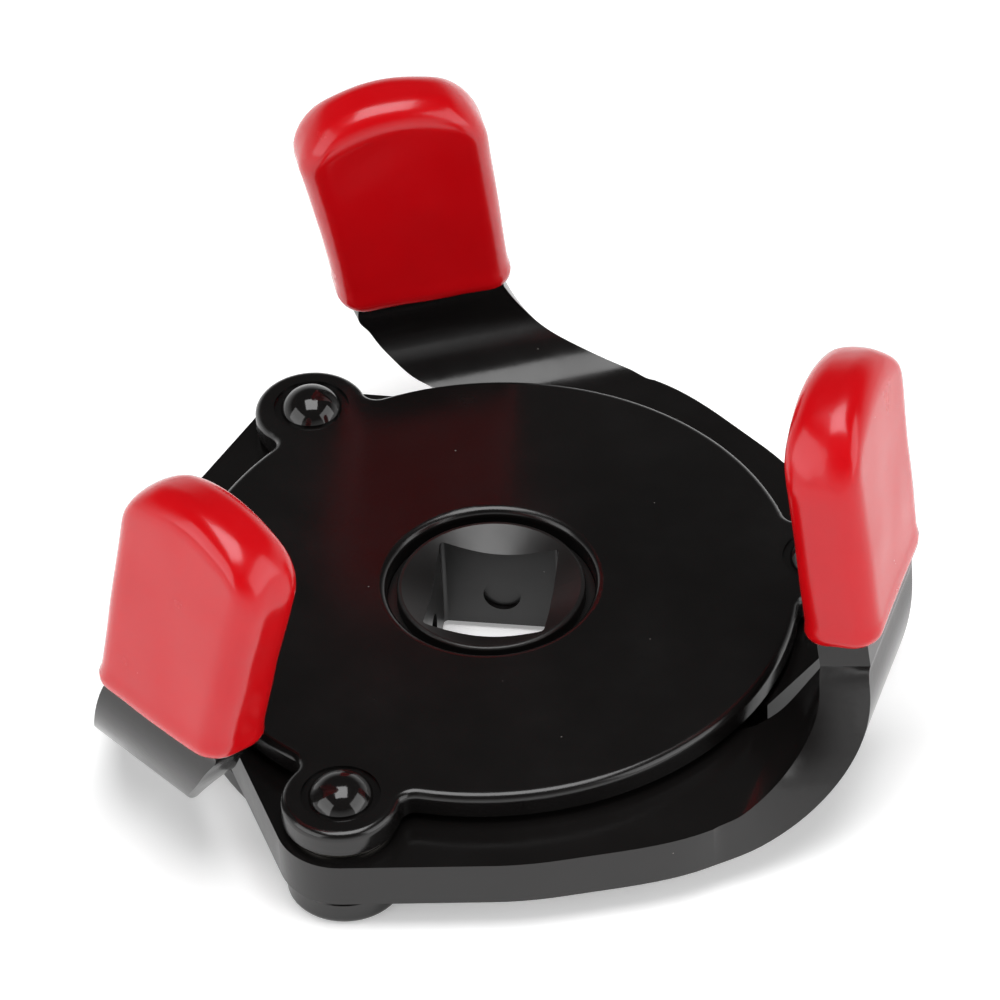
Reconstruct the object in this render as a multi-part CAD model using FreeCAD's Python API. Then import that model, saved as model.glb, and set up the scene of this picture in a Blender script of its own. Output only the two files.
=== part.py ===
"""Three-jaw oil filter wrench, turned by a square drive through its centre.

Two identical stamped plates hold a square-socket gear and three flat arms. The gear turns
toothed sectors on the arms, so the three bent-up jaws close on a filter together.

Frame: origin at the centre of the square's mouth on the back face, +Z along the drive axis
towards the jaws. Arm 1 pivots on the +X axis, arms 2 and 3 at +120 and +240 degrees.
All sizes are in millimetres.
"""
import FreeCAD, Part
import math
import os

from FreeCAD import Vector

ARM_COUNT = 3

# The stack, from the back face up
plate_thickness = 3.0
arm_thickness = 5.2
washer_space = 0.8
axial_clearance = 0.05

# The plates
plate_radius = 32.6
pivot_radius = 35.0
ear_radius = 6.15
ear_blend_radius = 1.6
plate_edge_radius = 0.9
inner_edge_bevel = 0.25
journal_hole_radius = 11.05
rivet_recess_radius = 4.1
rivet_recess_depth = 0.35

# The gear train
gear_module = 2.0
gear_teeth = 15
sector_teeth_per_turn = 20
pressure_angle = math.radians(20)
dedendum_modules = 1.2
gear_addendum_modules = 1.0
sector_addendum_modules = 0.9
tooth_thinning = 0.45
flank_steps = 6

# The drive gear's hub
journal_clearance = 0.05
boss_radius = 10.0
boss_recess = 0.55
boss_height = 1.7
square_across_flats = 12.8
square_angle = -12.0
square_corner_radius = 0.5
mouth_cone_drop = 1.6
boss_rim_width = 0.5
boss_rim_radius = 0.35
detent_radius = 2.0
detent_depth = 0.5
detent_level = 4.7

# The pivots
shank_radius = 2.5
shank_clearance = 0.02
sleeve_outer_radius = 4.0
arm_bore_clearance = 0.05
washer_outer_radius = 5.4
dome_radius = 3.3
dome_height = 2.1
dome_edge = 0.3
back_head_radius = 4.2
back_head_depth = 1.5

# The arms, in a frame where the arm's pivot lies on +X
hub_radius = 6.9
sector_half_angle = 38.0
sector_side_angle = -43.5
sector_shoulder_radius = 19.8
sector_shoulder_angle = 43.0
sector_tooth_steps = (-1.5, -0.5, 0.5, 1.5)
crescent_outer_radius = 38.45
crescent_inner_radius = 26.0
crescent_inner_start = 14.0
crescent_inner_end = 46.0
crescent_flare_start = 37.0
arm_play = (0.3, 0.4, -0.7)

# The bent-up jaws, in a frame turned by jaw_turn from the arm's frame.
# In the bend, the strip's two edges are given as offsets across it, at equal steps from the
# flat to the jaw, with how far the outer face's edges lie off the inner face's.
jaw_turn = 8.7
jaw_leans = (4.5, 9.0, 8.3)
jaw_inner_face = 38.55
jaw_face_level = 20.0
bend_radius = 7.5
leading_edge_bend = (25.6, 24.0, 22.2, 20.1, 18.0, 16.0, 14.4, 13.2, 12.2)
trailing_edge_bend = (9.8, 7.6, 4.2, 1.0, -0.8, -2.0, -3.1, -4.0, -4.8)
leading_skew_bend = (0.0, -0.6, -1.0, -1.1, -1.1, -1.0, -0.9, -0.8, -0.7)
trailing_skew_bend = (0.0, 0.6, 1.3, 2.0, 2.4, 2.3, 1.5, 0.5, -0.3)

# The jaw's outline in its own face: (offset, height) of its corners and of its crown
jaw_skew = 0.6
jaw_base_level = 20.0
jaw_base_leading = 10.7
jaw_base_trailing = -5.6
jaw_shoulder_leading = (8.6, 43.2)
jaw_crown = (1.4, 46.6)
jaw_shoulder_trailing = (-9.2, 42.6)

# The dipped grips
grip_wall = 1.4
grip_base_level = 20.6
grip_edge_radius = 2.4

# Heights that follow from the stack
arm_bottom = plate_thickness + washer_space
arm_top = arm_bottom + arm_thickness
top_plate_bottom = arm_top + washer_space
stack_height = top_plate_bottom + plate_thickness

gear_pitch_radius = gear_module * gear_teeth / 2
sector_pitch_radius = gear_module * sector_teeth_per_turn / 2

UP = Vector(0, 0, 1)
ORIGIN = Vector(0, 0, 0)
ARM_PIVOT = Vector(pivot_radius, 0, 0)
level_tolerance = 1e-4


def polar(radius, degrees, z=0.0, centre=ORIGIN):
    angle = math.radians(degrees)
    return centre + Vector(radius * math.cos(angle), radius * math.sin(angle), z)


def turned(shape, degrees, centre=ORIGIN):
    result = shape.copy()
    result.rotate(centre, UP, degrees)
    return result


def cylinder(radius, bottom, top, centre=ORIGIN):
    return Part.makeCylinder(radius, top - bottom, centre + Vector(0, 0, bottom))


def arc_through(radius, start, end, centre=ORIGIN):
    """Arc about centre from one direction to another, counter-clockwise when end > start."""
    middle = (start + end) / 2
    points = [polar(radius, angle, 0, centre) for angle in (start, middle, end)]
    return Part.Arc(*points).toShape()


def prism(wire, bottom, top):
    """Solid over a closed flat outline."""
    solid = Part.Face(wire).extrude(Vector(0, 0, top - bottom))
    solid.translate(Vector(0, 0, bottom))
    return solid


def outline_of(edges):
    return Part.Wire(Part.__sortEdges__(edges))


def polygon(points):
    return Part.makePolygon(points + [points[0]])


# ---------------------------------------------------------------- plates

def ear_outline():
    """One third of the plate's rim: an ear on +X, its two blends and the disc arc after it."""
    to_blend = plate_radius + ear_blend_radius
    ear_to_blend = ear_radius + ear_blend_radius
    cosine = (to_blend ** 2 + pivot_radius ** 2 - ear_to_blend ** 2) / (2 * to_blend * pivot_radius)
    blend_angle = math.degrees(math.acos(cosine))
    blend_centre = polar(to_blend, blend_angle)
    on_disc = polar(plate_radius, blend_angle)
    on_ear = ARM_PIVOT + (blend_centre - ARM_PIVOT) * (ear_radius / ear_to_blend)
    inward = (ARM_PIVOT - blend_centre).normalize() + (ORIGIN - blend_centre).normalize()
    blend_middle = blend_centre + inward.normalize() * ear_blend_radius
    far_side = [Vector(point.x, -point.y, 0) for point in (on_disc, blend_middle, on_ear)]
    ear_tip = ARM_PIVOT + Vector(ear_radius, 0, 0)
    next_station = 360 / ARM_COUNT
    return [
        Part.Arc(far_side[2], ear_tip, on_ear).toShape(),
        Part.Arc(on_ear, blend_middle, on_disc).toShape(),
        arc_through(plate_radius, blend_angle, next_station - blend_angle),
        turned(Part.Arc(*far_side).toShape(), next_station),
    ]


def rim_edges(shape, level):
    """The edges of a shape that lie flat at one height."""
    found = []
    for edge in shape.Edges:
        box = edge.BoundBox
        if abs(box.ZMin - level) < level_tolerance and abs(box.ZMax - level) < level_tolerance:
            found.append(edge)
    return found


def stamped_plate():
    """Plate with its rounded face up, from z = 0 to plate_thickness."""
    edges = []
    for index in range(ARM_COUNT):
        edges += [turned(edge, index * 360 / ARM_COUNT) for edge in ear_outline()]
    plate = prism(outline_of(edges), 0, plate_thickness)
    plate = plate.cut(cylinder(journal_hole_radius, 0, plate_thickness))
    plate = plate.makeFillet(plate_edge_radius, rim_edges(plate, plate_thickness))
    plate = plate.makeChamfer(inner_edge_bevel, rim_edges(plate, 0))
    for index in range(ARM_COUNT):
        pivot = polar(pivot_radius, index * 360 / ARM_COUNT)
        plate = plate.cut(cylinder(shank_radius + shank_clearance, 0, plate_thickness, pivot))
    return plate


def top_plate():
    plate = stamped_plate()
    for index in range(ARM_COUNT):
        pivot = polar(pivot_radius, index * 360 / ARM_COUNT)
        floor = plate_thickness - rivet_recess_depth
        plate = plate.cut(cylinder(rivet_recess_radius, floor, plate_thickness, pivot))
    plate.translate(Vector(0, 0, top_plate_bottom))
    return plate


def bottom_plate():
    plate = stamped_plate()
    plate.rotate(ORIGIN, Vector(1, 0, 0), 180)
    plate.translate(Vector(0, 0, plate_thickness))
    for index in range(ARM_COUNT):
        pivot = polar(pivot_radius, index * 360 / ARM_COUNT)
        plate = plate.cut(back_countersink(pivot))
    return plate


def back_countersink(pivot):
    return Part.makeCone(back_head_radius, shank_radius, back_head_depth, pivot)


# ---------------------------------------------------------------- pivots

def rivet(pivot):
    """Domed head on the front, straight shank, and a tail set flush in the back countersink."""
    seat = stack_height - rivet_recess_depth
    ball_radius = (dome_radius ** 2 + dome_height ** 2) / (2 * dome_height)
    collar = cylinder(dome_radius, seat, seat + dome_edge, pivot)
    ball_centre = pivot + Vector(0, 0, seat + dome_edge + dome_height - ball_radius)
    ball = Part.makeSphere(ball_radius, ball_centre)
    above = cylinder(dome_radius, seat + dome_edge, seat + dome_edge + dome_height, pivot)
    dome = ball.common(above)
    shank = cylinder(shank_radius, 0, seat, pivot)
    return shank.fuse([collar, dome, back_countersink(pivot)]).removeSplitter()


def ring(inner, outer, bottom, top, pivot):
    return cylinder(outer, bottom, top, pivot).cut(cylinder(inner, bottom, top, pivot))


def pivot_sleeve(pivot):
    inner = shank_radius + shank_clearance
    return ring(inner, sleeve_outer_radius, plate_thickness, top_plate_bottom, pivot)


def lower_washer(pivot):
    inner = sleeve_outer_radius + shank_clearance
    return ring(inner, washer_outer_radius, plate_thickness, arm_bottom - axial_clearance, pivot)


def upper_washer(pivot):
    inner = sleeve_outer_radius + shank_clearance
    return ring(inner, washer_outer_radius, arm_top + axial_clearance, top_plate_bottom, pivot)


# ---------------------------------------------------------------- gear teeth

def involute_angle(base_radius, radius):
    """Polar angle, in radians, that an involute has turned through at a radius."""
    if radius <= base_radius:
        return 0.0
    tangent = math.sqrt((radius / base_radius) ** 2 - 1)
    return tangent - math.atan(tangent)


def tooth_flank(teeth, tip_radius, root_radius):
    """Points of one flank from root to tip, as (radius, half angle in degrees) pairs."""
    pitch_radius = gear_module * teeth / 2
    base_radius = pitch_radius * math.cos(pressure_angle)
    half_at_pitch = math.pi / (2 * teeth) - tooth_thinning / (2 * pitch_radius)
    half_at_base = half_at_pitch + involute_angle(base_radius, pitch_radius)
    start = max(base_radius, root_radius)
    flank = [] if start == root_radius else [(root_radius, math.degrees(half_at_base))]
    for step in range(flank_steps):
        radius = start + (tip_radius - start) * step / (flank_steps - 1)
        half = half_at_base - involute_angle(base_radius, radius)
        flank.append((radius, math.degrees(half)))
    return flank


def tooth(teeth, tip_radius, root_radius, direction, centre, bottom, top):
    """One tooth with its foot sunk into the root circle."""
    flank = tooth_flank(teeth, tip_radius, root_radius)
    foot = root_radius - gear_module / 2
    side = [(foot, flank[0][1])] + flank
    left = [polar(radius, direction + half, 0, centre) for radius, half in side]
    right = [polar(radius, direction - half, 0, centre) for radius, half in side]
    outline = right + list(reversed(left))
    return prism(polygon(outline), bottom, top)


# ---------------------------------------------------------------- drive gear

def square_hole():
    """The through square, with the detent pits in its four walls."""
    half = square_across_flats / 2
    hole = Part.makeBox(2 * half, 2 * half, stack_height, Vector(-half, -half, 0))
    corners = [edge for edge in hole.Edges if edge.BoundBox.ZLength > stack_height / 2]
    hole = hole.makeFillet(square_corner_radius, corners)
    reach = half + detent_depth
    pits = []
    for axis in (Vector(1, 0, 0), Vector(0, 1, 0)):
        start = Vector(0, 0, detent_level) - axis * reach
        pits.append(Part.makeCylinder(detent_radius, 2 * reach, start, axis))
    return turned(hole.fuse(pits), square_angle)


def mouth_cone():
    """Shallow cone, widest at the boss face, that leads the drive into the square."""
    flat_radius = square_across_flats / 2
    wide_radius = boss_radius - boss_rim_width
    bottom = Vector(0, 0, stack_height - boss_recess - mouth_cone_drop)
    return Part.makeCone(flat_radius, wide_radius, mouth_cone_drop, bottom)


def boss():
    """The raised disc round the mouth, with a rounded rim."""
    face = stack_height - boss_recess
    disc = cylinder(boss_radius, face - boss_height, face)
    return disc.makeFillet(boss_rim_radius, rim_edges(disc, face))


def drive_gear():
    """Toothed middle, a journal in each plate's hole and a raised boss on the front."""
    tip_radius = gear_pitch_radius + gear_addendum_modules * gear_module
    root_radius = gear_pitch_radius - dedendum_modules * gear_module
    low = plate_thickness + axial_clearance
    high = top_plate_bottom - axial_clearance
    parts = []
    for index in range(gear_teeth):
        direction = index * 360 / gear_teeth
        parts.append(tooth(gear_teeth, tip_radius, root_radius, direction, ORIGIN, low, high))
    journal = journal_hole_radius - journal_clearance
    face = stack_height - boss_recess
    parts.append(cylinder(journal, boss_recess, face - boss_height))
    parts.append(boss())
    body = cylinder(root_radius, low, high).fuse(parts).removeSplitter()
    body = body.cut(square_hole())
    body = body.cut(mouth_cone())
    return body


# ---------------------------------------------------------------- arms

def strip_point(across, along, outward, lean):
    """A point of the bent strip, in the arm's frame.

    along is the distance up the inner face from the bend's start, outward the depth into the
    strip from that face and across the offset towards the leading edge.
    """
    lean = math.radians(lean)
    full_turn = math.pi / 2 + lean
    turn = min(along / bend_radius, full_turn)
    above_bend = along - turn * bend_radius
    bend_top = arm_top + bend_radius * (1 + math.sin(lean))
    face_there = jaw_inner_face + math.tan(lean) * (jaw_face_level - bend_top)
    centre_y = face_there - bend_radius * math.cos(lean)
    arm = bend_radius + outward
    y = centre_y + arm * math.sin(turn) - above_bend * math.sin(lean)
    z = arm_top + bend_radius - arm * math.cos(turn) + above_bend * math.cos(lean)
    return FreeCAD.Rotation(UP, jaw_turn).multVec(Vector(across, y, z))


def along_at_level(level, lean):
    """Distance along the strip at which its inner face reaches a height."""
    lean = math.radians(lean)
    bend_top = arm_top + bend_radius * (1 + math.sin(lean))
    return bend_radius * (math.pi / 2 + lean) + (level - bend_top) / math.cos(lean)


def strip_section(inner_edges, outer_edges, along, lean):
    """Four-sided cross-section of the strip, from its (trailing, leading) edge offsets."""
    corners = [
        strip_point(inner_edges[0], along, 0, lean),
        strip_point(inner_edges[1], along, 0, lean),
        strip_point(outer_edges[1], along, arm_thickness, lean),
        strip_point(outer_edges[0], along, arm_thickness, lean),
    ]
    return polygon(corners)


def bend_step(lean):
    return bend_radius * (math.pi / 2 + math.radians(lean)) / (len(leading_edge_bend) - 1)


def bend(lean):
    """The strip from the flat up to the foot of the jaw, lofted through its cross-sections."""
    sections = []
    inner_edges = list(zip(trailing_edge_bend, leading_edge_bend))
    skews = zip(trailing_skew_bend, leading_skew_bend)
    for step, (inner, skew) in enumerate(zip(inner_edges, skews)):
        outer = (inner[0] + skew[0], inner[1] + skew[1])
        sections.append(strip_section(inner, outer, step * bend_step(lean), lean))
    foot = (jaw_base_trailing, jaw_base_leading)
    skewed_foot = (foot[0] - jaw_skew, foot[1] - jaw_skew)
    foot_along = along_at_level(jaw_base_level, lean)
    sections.append(strip_section(foot, skewed_foot, foot_along, lean))
    return Part.makeLoft(sections, True, False)


def jaw_plate(base_level, margin, lean):
    """The straight part of the strip with a crowned top, or the same grown by a margin."""
    skew_per_depth = jaw_skew / arm_thickness

    def point(across, level, outward):
        along = along_at_level(level, lean)
        return strip_point(across - outward * skew_per_depth, along, outward, lean)

    corners = [
        (jaw_base_trailing - margin, base_level),
        (jaw_base_leading + margin, base_level),
        (jaw_shoulder_leading[0] + margin, jaw_shoulder_leading[1] + margin),
        (jaw_shoulder_trailing[0] - margin, jaw_shoulder_trailing[1] + margin),
    ]
    trailing_base, leading_base, leading_top, trailing_top = [
        point(across, level, -margin) for across, level in corners]
    crown = point(jaw_crown[0], jaw_crown[1] + margin, -margin)
    outline = Part.Wire([
        Part.makeLine(trailing_base, leading_base),
        Part.makeLine(leading_base, leading_top),
        Part.Arc(leading_top, crown, trailing_top).toShape(),
        Part.makeLine(trailing_top, trailing_base),
    ])
    through = point(0, base_level, arm_thickness + margin) - point(0, base_level, -margin)
    return Part.Face(outline).extrude(through)


def sector_blank():
    """The fan under the teeth, with one side running off the hub in a straight line."""
    root_radius = sector_pitch_radius - dedendum_modules * gear_module
    far_angle = 180 - sector_half_angle
    near_angle = 180 + sector_half_angle
    side_start = polar(hub_radius, sector_side_angle, 0, ARM_PIVOT)
    side_length = math.sqrt(sector_shoulder_radius ** 2 - hub_radius ** 2)
    side_end = side_start + polar(side_length, sector_side_angle - 90)
    shoulder = polar(sector_shoulder_radius, 180 + sector_shoulder_angle, 0, ARM_PIVOT)
    near_end = polar(root_radius, near_angle, 0, ARM_PIVOT)
    far_end = polar(root_radius, far_angle, 0, ARM_PIVOT)
    far_start = polar(hub_radius, far_angle - 90, 0, ARM_PIVOT)
    edges = [
        Part.makeLine(side_start, side_end),
        Part.makeLine(side_end, shoulder),
        Part.makeLine(shoulder, near_end),
        arc_through(root_radius, far_angle, near_angle, ARM_PIVOT),
        Part.makeLine(far_end, far_start),
        arc_through(hub_radius, sector_side_angle, far_angle - 90, ARM_PIVOT),
    ]
    return prism(outline_of(edges), arm_bottom, arm_top)


def sector_teeth():
    """Teeth whose spaces face the gear's teeth on the line of centres."""
    tip_radius = sector_pitch_radius + sector_addendum_modules * gear_module
    root_radius = sector_pitch_radius - dedendum_modules * gear_module
    teeth = []
    for step in sector_tooth_steps:
        direction = 180 + step * 360 / sector_teeth_per_turn
        teeth.append(tooth(sector_teeth_per_turn, tip_radius, root_radius, direction, ARM_PIVOT,
                           arm_bottom, arm_top))
    return teeth


def flat_point(point):
    return Vector(point.x, point.y, 0)


def crescent(lean):
    """The flat strip from the hub round to where the jaw's bend starts."""
    tangent_angle = math.degrees(math.acos((crescent_outer_radius - hub_radius) / pivot_radius))
    hub_tangent = polar(hub_radius, tangent_angle, 0, ARM_PIVOT)
    outer_start = polar(crescent_outer_radius, tangent_angle)
    bend_trailing = flat_point(strip_point(trailing_edge_bend[0], 0, 0, lean))
    bend_leading = flat_point(strip_point(leading_edge_bend[0], 0, 0, lean))
    edge_slope = (leading_edge_bend[1] - leading_edge_bend[0]) / bend_step(lean)
    into_bend = FreeCAD.Rotation(UP, jaw_turn).multVec(Vector(edge_slope, 1, 0))
    flare = Part.BSplineCurve()
    flare.interpolate([polar(crescent_outer_radius, crescent_flare_start), bend_leading],
                      InitialTangent=polar(1, crescent_flare_start + 90),
                      FinalTangent=into_bend.normalize())
    inner_start = polar(crescent_inner_radius, crescent_inner_start)
    inner_end = polar(crescent_inner_radius, crescent_inner_end)
    edges = [
        Part.makeLine(hub_tangent, outer_start),
        arc_through(crescent_outer_radius, tangent_angle, crescent_flare_start),
        flare.toShape(),
        Part.makeLine(bend_leading, bend_trailing),
        Part.makeLine(bend_trailing, inner_end),
        arc_through(crescent_inner_radius, crescent_inner_start, crescent_inner_end),
        Part.makeLine(inner_start, ARM_PIVOT),
        Part.makeLine(ARM_PIVOT, hub_tangent),
    ]
    return prism(outline_of(edges), arm_bottom, arm_top)


def arm(lean):
    """One arm in its own frame, with its pivot bore on +X."""
    hub = cylinder(hub_radius, arm_bottom, arm_top, ARM_PIVOT)
    strip = [crescent(lean), bend(lean), jaw_plate(jaw_base_level, 0, lean)]
    body = hub.fuse([sector_blank()] + strip + sector_teeth()).removeSplitter()
    bore = sleeve_outer_radius + arm_bore_clearance
    return body.cut(cylinder(bore, arm_bottom, arm_top, ARM_PIVOT))


# ---------------------------------------------------------------- grips

def grip(lean):
    """The dipped skin over one jaw: a closed cap with the jaw's own shape inside it."""
    skin = jaw_plate(grip_base_level, grip_wall, lean)
    skin = skin.makeFillet(grip_edge_radius, skin.Edges)
    return skin.cut(jaw_plate(jaw_base_level, 0, lean))


def place(shape, index):
    """Turn an arm-frame shape by the arm's play about its pivot, then round to its station."""
    played = turned(shape, arm_play[index], ARM_PIVOT)
    return turned(played, index * 360 / ARM_COUNT)


def write(name, shape):
    if not shape.isValid():
        print("not valid:", name)
    shape.exportStep("parts/" + name + ".step")
    print("%-16s solids %d volume %.1f" % (name, len(shape.Solids), shape.Volume))


os.makedirs("parts", exist_ok=True)
write("top_plate", top_plate())
write("bottom_plate", bottom_plate())
write("drive_gear", drive_gear())
for number in range(ARM_COUNT):
    label = str(number + 1)
    station = polar(pivot_radius, number * 360 / ARM_COUNT)
    write("arm_" + label, place(arm(jaw_leans[number]), number))
    write("grip_" + label, place(grip(jaw_leans[number]), number))
    write("rivet_" + label, rivet(station))
    write("pivot_sleeve_" + label, pivot_sleeve(station))
    write("lower_washer_" + label, lower_washer(station))
    write("upper_washer_" + label, upper_washer(station))
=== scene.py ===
"""Looks of the three-jaw oil filter wrench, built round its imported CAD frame.

The CAD pieces get painted or oiled finishes, and the arms' sharp edges are slightly rounded. The
three dipped grips are replaced by soft, slightly uneven skins.
"""

import math

import bmesh
import bpy
from mathutils import Matrix, Vector, noise
from mathutils.bvhtree import BVHTree


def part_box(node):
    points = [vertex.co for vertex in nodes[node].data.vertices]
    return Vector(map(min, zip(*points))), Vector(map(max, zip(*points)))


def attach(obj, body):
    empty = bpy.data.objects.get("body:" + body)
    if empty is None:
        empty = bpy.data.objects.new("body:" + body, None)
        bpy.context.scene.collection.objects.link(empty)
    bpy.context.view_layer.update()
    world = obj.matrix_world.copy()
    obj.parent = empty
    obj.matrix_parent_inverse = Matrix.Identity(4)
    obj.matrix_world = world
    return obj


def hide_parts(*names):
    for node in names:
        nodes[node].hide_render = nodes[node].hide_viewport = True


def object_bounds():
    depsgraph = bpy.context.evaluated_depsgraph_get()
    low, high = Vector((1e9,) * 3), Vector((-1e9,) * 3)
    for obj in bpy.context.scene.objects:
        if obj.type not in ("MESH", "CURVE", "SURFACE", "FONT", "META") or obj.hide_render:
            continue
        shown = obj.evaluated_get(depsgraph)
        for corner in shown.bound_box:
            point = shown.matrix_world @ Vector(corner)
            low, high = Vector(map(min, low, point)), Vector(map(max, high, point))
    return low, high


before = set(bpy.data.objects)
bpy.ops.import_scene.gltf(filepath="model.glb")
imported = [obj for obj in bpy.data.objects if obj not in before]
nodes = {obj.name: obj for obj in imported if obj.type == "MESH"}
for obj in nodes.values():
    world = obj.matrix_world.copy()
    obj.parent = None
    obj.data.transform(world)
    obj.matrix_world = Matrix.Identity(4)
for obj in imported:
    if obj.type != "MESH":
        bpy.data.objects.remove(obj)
cad_low, cad_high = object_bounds()

MM = 0.001
ARMS = ("1", "2", "3")

# The camera, aimed at the middle of the front plate
camera_distance = 630.5 * MM
camera_elevation = math.radians(41.70)
camera_turn = math.radians(-2.30)
camera_roll = math.radians(2.81)
camera_right_shift = 1.37 * MM
camera_up_shift = 8.39 * MM
camera_lens = 215.3
sensor_width = 36.0
camera_near = 10 * MM

# The studio: places and sizes in metres, powers in watts
floor_size = 6.0
floor_gap = 0.2 * MM
floor_glow = 0.3
softbox_target = Vector((0, 0, 20 * MM))
side_softbox_place = Vector((1.15, -0.55, 0.62))
side_softbox_size = (1.3, 0.9)
side_softbox_power = 8.5
overhead_softbox_place = Vector((0.0, -0.1, 1.3))
overhead_softbox_size = (0.9, 0.9)
overhead_softbox_power = 14.0

# The world: white up to one height (as a sine of elevation), dark grey from a second one up
white_sky_height = 0.08
dark_sky_height = 0.45
dark_sky_shade = 0.05

# The dipped grips
corner_height = 4.2 * MM
edge_round = 3.1 * MM
section_round = 2.7 * MM
crown_lift = {"1": 0.9 * MM, "2": -0.5 * MM, "3": 0.7 * MM}
shoulder_drop = {"1": 0.2 * MM, "2": 0.0, "3": 0.8 * MM}
dip_lift = {"1": 0.0, "2": -0.7 * MM, "3": 2.3 * MM}
dip_wave = 0.45 * MM
dip_wave_size = 6 * MM
bead_swell = 0.15 * MM
bead_height = 1.3 * MM
bead_width = 0.8 * MM
face_hollow = 0.3 * MM
skin_unevenness = 0.13 * MM
skin_unevenness_size = 7.0 * MM

# Where a CAD grip is measured: shares of its height for its sides, and steps across its crown
side_shares = (0.35, 0.7)
crown_step = 6 * MM
far_off = 80 * MM

# The arms' edges
arm_edge_round = 0.35 * MM
arm_edge_segments = 3
flat_angle = math.radians(0.5)
sharp_angle = math.radians(40)

# Rings from the steel out round the lip of the dip: (distance in from the skin, height)
lip_rings = ((1.45 * MM, 0.35 * MM), (1.0 * MM, 0.02 * MM), (0.55 * MM, 0.0),
             (0.2 * MM, 0.2 * MM), (0.0, 0.6 * MM))
body_rings = 26
corner_rings = 12
inner_rings = 3
arc_steps = 6
wide_steps = 20
narrow_steps = 4


# ---------------------------------------------------------------- node helpers

class Finish:
    """One procedural material under construction."""

    def __init__(self, name):
        self.material = bpy.data.materials.new(name)
        self.material.use_nodes = True
        self.tree = self.material.node_tree
        self.shader = self.tree.nodes["Principled BSDF"]
        self.coordinates = self.tree.nodes.new("ShaderNodeTexCoord").outputs["Object"]

    def set(self, **values):
        for socket, value in values.items():
            self.shader.inputs[socket.replace("_", " ")].default_value = value

    def node(self, kind, **inputs):
        made = self.tree.nodes.new("ShaderNode" + kind)
        for socket, value in inputs.items():
            self.feed(made.inputs[socket.replace("_", " ")], value)
        return made

    def feed(self, socket, value):
        if isinstance(value, bpy.types.NodeSocket):
            self.tree.links.new(value, socket)
        else:
            socket.default_value = value

    def noise(self, size, detail=2.0, roughness=0.5):
        """Soft noise whose features are about size metres across."""
        made = self.node("TexNoise", Vector=self.coordinates, Scale=1 / size, Detail=detail,
                         Roughness=roughness)
        return made.outputs["Fac"]

    def span(self, value, low, high, start=0.0, end=1.0):
        """value moved from start..end to low..high, clamped."""
        made = self.node("MapRange", Value=value)
        made.inputs["From Min"].default_value = start
        made.inputs["From Max"].default_value = end
        made.inputs["To Min"].default_value = low
        made.inputs["To Max"].default_value = high
        return made.outputs["Result"]

    def math(self, operation, first, second):
        made = self.tree.nodes.new("ShaderNodeMath")
        made.operation = operation
        self.feed(made.inputs[0], first)
        self.feed(made.inputs[1], second)
        return made.outputs[0]

    def mix(self, factor, first, second):
        made = self.tree.nodes.new("ShaderNodeMix")
        made.data_type = "RGBA"
        colours = [socket for socket in made.inputs if socket.type == "RGBA"]
        self.feed(made.inputs["Factor"], factor)
        self.feed(colours[0], first)
        self.feed(colours[1], second)
        return [socket for socket in made.outputs if socket.type == "RGBA"][0]

    def specks(self, spacing, radius, share):
        """1 inside sparse round specks, 0 elsewhere."""
        cells = self.node("TexVoronoi", Vector=self.coordinates, Scale=1 / spacing)
        inside = self.math("LESS_THAN", cells.outputs["Distance"], radius / spacing)
        shade = self.node("SeparateColor", Color=cells.outputs["Color"])
        chosen = self.math("LESS_THAN", shade.outputs["Red"], share)
        return self.math("MULTIPLY", inside, chosen)

    def bump(self, height, distance, onto=None):
        made = self.node("Bump", Height=height, Distance=distance, Strength=1.0)
        if onto is not None:
            self.tree.links.new(onto, made.inputs["Normal"])
        return made.outputs["Normal"]

    def finish(self, colour, roughness, normal):
        self.feed(self.shader.inputs["Base Color"], colour)
        self.feed(self.shader.inputs["Roughness"], roughness)
        self.feed(self.shader.inputs["Normal"], normal)
        return self.material


def tone(red, green, blue):
    return (red, green, blue, 1.0)


# ---------------------------------------------------------------- materials

def black_enamel(name, shade, low_roughness, high_roughness, peel_height, dust_share, ior):
    """Glossy black paint: faint orange peel, smudges, and a few specks of dust."""
    paint = Finish(name)
    smudge = paint.noise(9 * MM, detail=4.0, roughness=0.6)
    cloud = paint.noise(28 * MM, detail=2.0)
    dust = paint.specks(2.6 * MM, 0.09 * MM, dust_share)
    base = paint.mix(cloud, tone(shade, shade * 0.93, shade * 0.9),
                     tone(shade * 1.8, shade * 1.6, shade * 1.55))
    colour = paint.mix(dust, base, tone(0.16, 0.15, 0.14))
    roughness = paint.span(smudge, low_roughness, high_roughness, 0.3, 0.75)
    dusty = paint.math("MAXIMUM", roughness, paint.math("MULTIPLY", dust, 0.7))
    peel = paint.noise(1.1 * MM, detail=2.0)
    wave = paint.noise(7 * MM, detail=1.0)
    normal = paint.bump(peel, peel_height)
    normal = paint.bump(wave, peel_height * 6, onto=normal)
    paint.set(IOR=ior)
    return paint.finish(colour, dusty, normal)


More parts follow.
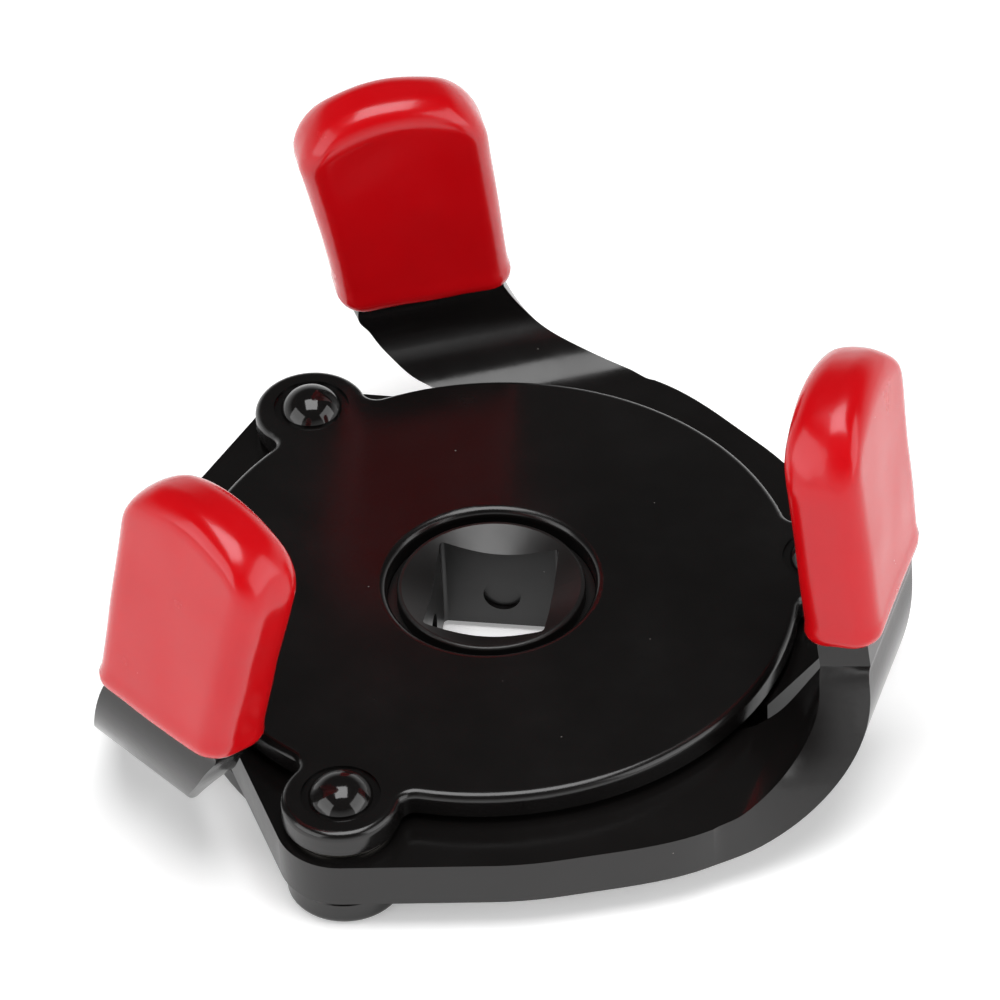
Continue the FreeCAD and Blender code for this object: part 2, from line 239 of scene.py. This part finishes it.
def dipped_pvc():
    """Thick glossy red PVC, a little translucent, with soft dimples."""
    skin = Finish("red_dipped_pvc")
    cloud = skin.noise(14 * MM, detail=3.0)
    colour = skin.mix(cloud, tone(0.46, 0.001, 0.003), tone(0.56, 0.002, 0.005))
    dust = skin.specks(3.4 * MM, 0.08 * MM, 0.1)
    colour = skin.mix(dust, colour, tone(0.75, 0.3, 0.28))
    smear = skin.noise(6 * MM, detail=4.0, roughness=0.6)
    roughness = skin.span(smear, 0.17, 0.29, 0.3, 0.75)
    dimples = skin.noise(3.2 * MM, detail=2.0)
    sag = skin.noise(11 * MM, detail=1.0)
    normal = skin.bump(dimples, 0.03 * MM)
    normal = skin.bump(sag, 0.25 * MM, onto=normal)
    skin.set(Specular_Tint=tone(1.0, 0.86, 0.95))
    skin.set(IOR=1.45, Subsurface_Weight=0.1, Subsurface_Radius=(1.0, 0.08, 0.08),
             Subsurface_Scale=1.0 * MM, Coat_Weight=0.15, Coat_Roughness=0.06)
    return skin.finish(colour, roughness, normal)


def oiled_steel():
    """Bright turned steel with an oil film, for the sleeves and washers."""
    steel = Finish("oiled_steel")
    rings = steel.noise(0.25 * MM, detail=3.0, roughness=0.7)
    stain = steel.noise(2.5 * MM, detail=3.0)
    colour = steel.mix(stain, tone(0.2, 0.18, 0.15), tone(0.5, 0.48, 0.45))
    roughness = steel.span(rings, 0.25, 0.45)
    steel.set(Metallic=1.0)
    return steel.finish(colour, roughness, steel.bump(rings, 0.01 * MM))


def floor_finish():
    """Plain pale sheet that glows a little, which lightens the shadows on it."""
    ground = Finish("pale_floor")
    grain = ground.noise(40 * MM, detail=3.0)
    colour = ground.mix(grain, tone(0.95, 0.95, 0.95), tone(0.97, 0.97, 0.97))
    ground.set(Emission_Color=tone(1.0, 1.0, 1.0), Emission_Strength=floor_glow)
    return ground.finish(colour, 0.8, ground.bump(grain, 0.02 * MM))


# ---------------------------------------------------------------- pieces

def give(piece, material):
    piece.data.materials.clear()
    piece.data.materials.append(material)


def round_edges(piece, width):
    """Small rounds on the sharp edges, with the flat faces kept flat."""
    flatten = piece.modifiers.new("flatten", "DECIMATE")
    flatten.decimate_type = "DISSOLVE"
    flatten.angle_limit = flat_angle
    bevel = piece.modifiers.new("edge_round", "BEVEL")
    bevel.width = width
    bevel.segments = arm_edge_segments
    bevel.limit_method = "ANGLE"
    bevel.angle_limit = sharp_angle
    bevel.harden_normals = True
    bevel.use_clamp_overlap = True


# ---------------------------------------------------------------- the dipped grips

def jaw_frame(piece):
    """World matrix of a jaw's own frame: x across it, y up it, z out through its thickness."""
    mesh = piece.data
    widest = max(mesh.polygons, key=lambda face: face.area)
    middle = sum((corner.co for corner in mesh.vertices), Vector()) / len(mesh.vertices)
    outward = (piece.matrix_world.to_3x3() @ widest.normal).normalized()
    middle = piece.matrix_world @ middle
    if outward.dot(Vector((middle.x, middle.y, 0))) < 0:
        outward.negate()
    up = (Vector((0, 0, 1)) - outward * outward.z).normalized()
    across = up.cross(outward)
    axes = Matrix((across, up, outward)).transposed().to_4x4()
    return Matrix.Translation(middle) @ axes


class JawShape:
    """Sides, crown and base of a CAD grip, measured in its jaw's frame."""

    def __init__(self, piece, arm):
        self.frame = jaw_frame(piece)
        to_frame = self.frame.inverted() @ piece.matrix_world
        corners = [to_frame @ corner.co for corner in piece.data.vertices]
        faces = [tuple(face.vertices) for face in piece.data.polygons]
        self.tree = BVHTree.FromPolygons(corners, faces)
        low = min(corner.y for corner in corners)
        high = max(corner.y for corner in corners)
        self.front = min(corner.z for corner in corners)
        self.back = max(corner.z for corner in corners)
        self.depth_middle = (self.front + self.back) / 2
        self.base = low + dip_lift[arm]
        self.lift = crown_lift[arm]
        self.drop = shoulder_drop[arm]
        self.heights = [low + share * (high - low) for share in side_shares]
        self.lefts = [self.side(height, -1) for height in self.heights]
        self.rights = [self.side(height, 1) for height in self.heights]
        self.crown_heights = [self.top_at(across) for across in (-crown_step, 0.0, crown_step)]

    def side(self, height, way):
        start = Vector((way * far_off, height, self.depth_middle))
        return self.tree.ray_cast(start, Vector((-way, 0, 0)))[0].x

    def top_at(self, across):
        start = Vector((across, far_off, self.depth_middle))
        return self.tree.ray_cast(start, Vector((0, -1, 0)))[0].y

    def span_at(self, height):
        """Left and right edge of the grip, on straight lines through two measured heights."""
        share = (height - self.heights[0]) / (self.heights[1] - self.heights[0])
        left = self.lefts[0] + share * (self.lefts[1] - self.lefts[0])
        right = self.rights[0] + share * (self.rights[1] - self.rights[0])
        return left, right

    def crown(self, across):
        """Height of the arched top, a parabola through three measured points."""
        low, middle, high = self.crown_heights
        slope = (high - low) / (2 * crown_step)
        curve = (high + low - 2 * middle) / (2 * crown_step * crown_step)
        shoulder = max(0.0, -across / crown_step) ** 2 / 2
        return middle + self.lift + slope * across + curve * across ** 2 - self.drop * shoulder


def rounded_rectangle(half_width, half_depth, radius):
    """Points round a rounded rectangle, evenly matched from ring to ring."""
    radius = min(radius, half_depth * 0.98, half_width * 0.98)
    corners = []
    for quarter, (side, face) in enumerate(((1, 1), (-1, 1), (-1, -1), (1, -1))):
        centre = Vector((side * (half_width - radius), face * (half_depth - radius)))
        arc = []
        for step in range(arc_steps + 1):
            angle = math.radians(90) * (quarter + step / arc_steps)
            arc.append(centre + radius * Vector((math.cos(angle), math.sin(angle))))
        corners.append(arc)
    points = []
    for quarter, arc in enumerate(corners):
        following = corners[(quarter + 1) % 4][0]
        steps = narrow_steps if quarter % 2 else wide_steps
        points.extend(arc)
        for step in range(1, steps):
            points.append(arc[-1].lerp(following, step / steps))
    return points


def skin_ring(shape, height_at, inset_across, inset_depth):
    """One ring of the skin; height_at gives the height over a point (across, depth)."""
    level = height_at(0.0, 0.0)
    left, right = shape.span_at(level)
    half_width = (right - left) / 2 - inset_across
    half_depth = (shape.back - shape.front) / 2 - inset_depth
    centre = (left + right) / 2
    ring = []
    for point in rounded_rectangle(half_width, half_depth, section_round):
        across = centre + point.x
        ring.append(Vector((across, height_at(across, point.y), shape.depth_middle + point.y)))
    return ring


def dip_line(shape):
    """Height of the skin's lower edge, wandering a little round the jaw."""
    def height(across, depth):
        place = shape.frame @ Vector((across, shape.base, depth)) / dip_wave_size
        return shape.base + dip_wave * noise.noise(place)
    return height


def lip(shape):
    """The rolled lower edge, from the steel outwards."""
    dip = dip_line(shape)
    rings = []
    for inset, rise in lip_rings:
        rings.append(skin_ring(shape, lambda x, y: dip(x, y) + rise, inset, inset))
    return rings


def straight_skin(shape):
    """The long part of the skin, swelling into a bead over the dip line."""
    dip = dip_line(shape)
    first_rise = lip_rings[-1][1]
    rings = []
    for step in range(1, body_rings):
        share = step / body_rings

        def height(across, depth):
            start = dip(across, depth) + first_rise
            return start + share * (shape.crown(across) - corner_height - start)

        over_dip = height(0, 0) - dip(0, 0)
        bead = bead_swell * math.exp(-((over_dip - bead_height) / bead_width) ** 2)
        rings.append(skin_ring(shape, height, -bead, -bead))
    return rings


def domed_top(shape):
    """The rounded shoulders and the arched crown."""
    rings = []
    for step in range(corner_rings + 1):
        angle = math.radians(90) * step / corner_rings
        drop = corner_height * (1 - math.sin(angle))
        inset_across = corner_height * (1 - math.cos(angle))
        into_edge = max(0.0, edge_round - drop) / edge_round
        inset_depth = edge_round * (1 - math.sqrt(max(0.0, 1 - into_edge ** 2)))
        rings.append(skin_ring(shape, lambda x, y: shape.crown(x) - drop, inset_across,
                               inset_depth))
    return rings


def inside(shape):
    """The hidden inner wall against the steel, from the top down to the lip."""
    dip = dip_line(shape)
    inset = lip_rings[0][0]
    rings = []
    for step in range(inner_rings):
        share = 1 - step / inner_rings

        def height(across, depth):
            start = dip(across, depth) + lip_rings[0][1]
            return start + share * (shape.crown(across) - corner_height - start)

        rings.append(skin_ring(shape, height, inset, inset))
    return rings


def cap(mesh, ring):
    """Close a ring with quads between its two wide sides."""
    wide = wide_steps + arc_steps
    front = [ring[(arc_steps // 2 + step) % len(ring)] for step in range(wide + 1)]
    half = len(ring) // 2
    rear = [ring[(arc_steps // 2 + half + wide - step) % len(ring)] for step in range(wide + 1)]
    for step in range(wide):
        mesh.faces.new((front[step], front[step + 1], rear[step + 1], rear[step]))
    for edge_ring in (ring_run(ring, front[-1], rear[-1]), ring_run(ring, rear[0], front[0])):
        mesh.faces.new(edge_ring)


def ring_run(ring, start, end):
    """The ring's vertices from start round to end."""
    index = ring.index(start)
    run = [start]
    while run[-1] is not end:
        index = (index + 1) % len(ring)
        run.append(ring[index])
    return run


def hollow(shape, point):
    """How far the inner face is dished at a point."""
    left, right = shape.span_at(point.y)
    across = (2 * point.x - left - right) / (right - left)
    top = shape.crown(point.x)
    along = 2 * (point.y - shape.base) / (top - shape.base) - 1
    facing = max(0.0, (shape.depth_middle - point.z) / (shape.depth_middle - shape.front))
    dish = max(0.0, 1 - across ** 2) * max(0.0, 1 - along ** 4)
    return face_hollow * dish * facing ** 4


def dipped_grip(arm):
    """A soft, slightly uneven skin over one jaw, in place of the CAD grip."""
    shape = JawShape(nodes["grip_" + arm], arm)
    outer = lip(shape) + straight_skin(shape) + domed_top(shape)
    mesh = bmesh.new()
    rings = []
    for ring in inside(shape) + outer:
        rings.append([mesh.verts.new(point) for point in ring])
    for ring, following in zip(rings, rings[1:]):
        for index in range(len(ring)):
            after = (index + 1) % len(ring)
            mesh.faces.new((ring[index], ring[after], following[after], following[index]))
    cap(mesh, rings[-1])
    cap(mesh, rings[0])
    bmesh.ops.recalc_face_normals(mesh, faces=mesh.faces)
    mesh.normal_update()
    for ring in rings[inner_rings + len(lip_rings):]:
        for corner in ring:
            place = (shape.frame @ corner.co) / skin_unevenness_size
            push = skin_unevenness * noise.noise(place)
            dished = Vector((0, 0, hollow(shape, corner.co)))
            corner.co = corner.co + corner.normal * push + dished
    mesh.transform(shape.frame)
    for face in mesh.faces:
        face.smooth = True
    skin = bpy.data.objects.new("dipped_grip_" + arm, bpy.data.meshes.new("dipped_grip_" + arm))
    mesh.to_mesh(skin.data)
    mesh.free()
    bpy.context.scene.collection.objects.link(skin)
    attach(skin, "arm_" + arm)
    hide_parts("grip_" + arm)
    return skin


# ---------------------------------------------------------------- the wrench

plate_paint = black_enamel("plate_enamel", shade=0.0035, low_roughness=0.17,
                           high_roughness=0.28, peel_height=0.004 * MM, dust_share=0.12, ior=1.5)
arm_paint = black_enamel("arm_enamel", shade=0.004, low_roughness=0.12,
                         high_roughness=0.26, peel_height=0.008 * MM, dust_share=0.08, ior=1.46)
gear_paint = black_enamel("gear_enamel", shade=0.005, low_roughness=0.3,
                          high_roughness=0.42, peel_height=0.006 * MM, dust_share=0.3, ior=1.5)
rivet_paint = black_enamel("rivet_enamel", shade=0.004, low_roughness=0.08,
                           high_roughness=0.16, peel_height=0.01 * MM, dust_share=0.05, ior=1.5)
red_skin = dipped_pvc()
steel = oiled_steel()

finishes = {"top_plate": plate_paint, "bottom_plate": plate_paint, "drive_gear": gear_paint}
for arm in ARMS:
    finishes["arm_" + arm] = arm_paint
    finishes["rivet_" + arm] = rivet_paint
    for inner in ("pivot_sleeve_", "lower_washer_", "upper_washer_"):
        finishes[inner + arm] = steel
for name, material in finishes.items():
    give(nodes[name], material)
for arm in ARMS:
    give(dipped_grip(arm), red_skin)
    round_edges(nodes["arm_" + arm], arm_edge_round)


# ---------------------------------------------------------------- the studio

def add_floor():
    floor = bpy.data.objects.new("floor", bpy.data.meshes.new("floor"))
    mesh = bmesh.new()
    bmesh.ops.create_grid(mesh, x_segments=1, y_segments=1, size=floor_size / 2)
    mesh.to_mesh(floor.data)
    mesh.free()
    floor.location.z = cad_low.z - floor_gap
    bpy.context.scene.collection.objects.link(floor)
    give(floor, floor_finish())


def add_softbox(name, place, size, power):
    light = bpy.data.lights.new(name, "AREA")
    light.shape = "RECTANGLE"
    light.size, light.size_y = size
    light.energy = power
    lamp = bpy.data.objects.new(name, light)
    lamp.location = place
    lamp.rotation_mode = "QUATERNION"
    lamp.rotation_quaternion = (softbox_target - place).to_track_quat("-Z", "Y")
    bpy.context.scene.collection.objects.link(lamp)


def add_world():
    """Bright near the horizon, dark overhead, so that the black paint stays black."""
    world = bpy.data.worlds.new("studio")
    world.use_nodes = True
    tree = world.node_tree
    direction = tree.nodes.new("ShaderNodeTexCoord").outputs["Generated"]
    parts = tree.nodes.new("ShaderNodeSeparateXYZ")
    ramp = tree.nodes.new("ShaderNodeValToRGB")
    tree.links.new(direction, parts.inputs[0])
    tree.links.new(parts.outputs["Z"], ramp.inputs[0])
    ramp.color_ramp.elements[0].position = white_sky_height
    ramp.color_ramp.elements[0].color = tone(1.0, 1.0, 1.0)
    ramp.color_ramp.elements[1].position = dark_sky_height
    ramp.color_ramp.elements[1].color = tone(dark_sky_shade, dark_sky_shade, dark_sky_shade)
    tree.links.new(ramp.outputs[0], tree.nodes["Background"].inputs["Color"])
    bpy.context.scene.world = world


def add_camera():
    fwd = Vector((0, math.cos(camera_elevation), -math.sin(camera_elevation)))
    right = Vector((1, 0, 0))
    up = right.cross(fwd)
    place = -camera_distance * fwd + camera_right_shift * right + camera_up_shift * up
    cosine = math.cos(camera_roll)
    sine = math.sin(camera_roll)
    rolled_right = right * cosine - up * sine
    rolled_up = right * sine + up * cosine
    axes = Matrix((rolled_right, rolled_up, -fwd)).transposed().to_4x4()
    plate_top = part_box("top_plate")[1].z
    camera = bpy.data.objects.new("camera", bpy.data.cameras.new("camera"))
    camera.data.lens = camera_lens
    camera.data.sensor_width = sensor_width
    camera.data.clip_start = camera_near
    turn = Matrix.Translation((0, 0, plate_top)) @ Matrix.Rotation(camera_turn, 4, "Z")
    camera.matrix_world = turn @ Matrix.Translation(place) @ axes
    bpy.context.scene.collection.objects.link(camera)
    bpy.context.scene.camera = camera


add_floor()
add_world()
mirrored = Vector((-side_softbox_place.x, side_softbox_place.y, side_softbox_place.z))
add_softbox("left_softbox", mirrored, side_softbox_size, side_softbox_power)
add_softbox("right_softbox", side_softbox_place, side_softbox_size, side_softbox_power)
add_softbox("overhead_softbox", overhead_softbox_place, overhead_softbox_size,
            overhead_softbox_power)
add_camera()

bpy.context.scene.view_settings.view_transform = "Standard"
